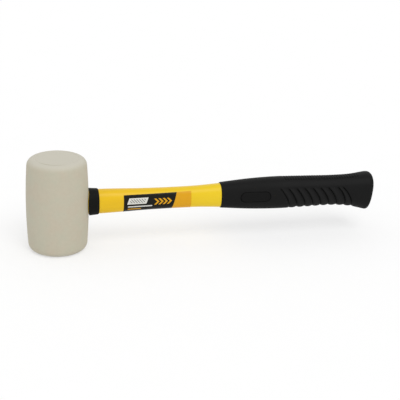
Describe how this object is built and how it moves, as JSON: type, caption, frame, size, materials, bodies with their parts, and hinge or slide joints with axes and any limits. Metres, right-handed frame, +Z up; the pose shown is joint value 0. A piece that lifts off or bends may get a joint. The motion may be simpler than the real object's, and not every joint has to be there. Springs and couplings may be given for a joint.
{
  "type": "rubber mallet",
  "caption": "White rubber mallet with a barrel head, yellow jacketed fibreglass handle, black collar and black soft grip with swept finger ridges.",
  "frame": {"origin": "centre of the lower striking face, on which the head stands", "axes": "+Z up along the head's axis, +X along the handle from the head to the butt, -Y towards the side with the sticker"},
  "size_m": [0.351, 0.06, 0.092],
  "materials": {
    "white_rubber": "moulded off-white rubber, matt, lightly mottled",
    "yellow_polypropylene": "injection moulded yellow polypropylene, satin gloss",
    "fibreglass": "pultruded glass fibre rod, cut end",
    "epoxy": "cured epoxy, dull amber",
    "black_collar": "moulded black rubber, satin",
    "black_grip": "moulded black thermoplastic rubber, fine matt texture",
    "printed_film": "printed film sticker, black and orange, plain"
  },
  "bodies": {
    "root": {"head": "white_rubber", "handle_jacket": "yellow_polypropylene", "fibreglass_core": "fibreglass", "eye_adhesive": "epoxy", "collar": "black_collar", "grip": "black_grip", "label": "printed_film"}
  },
  "joints": []
}
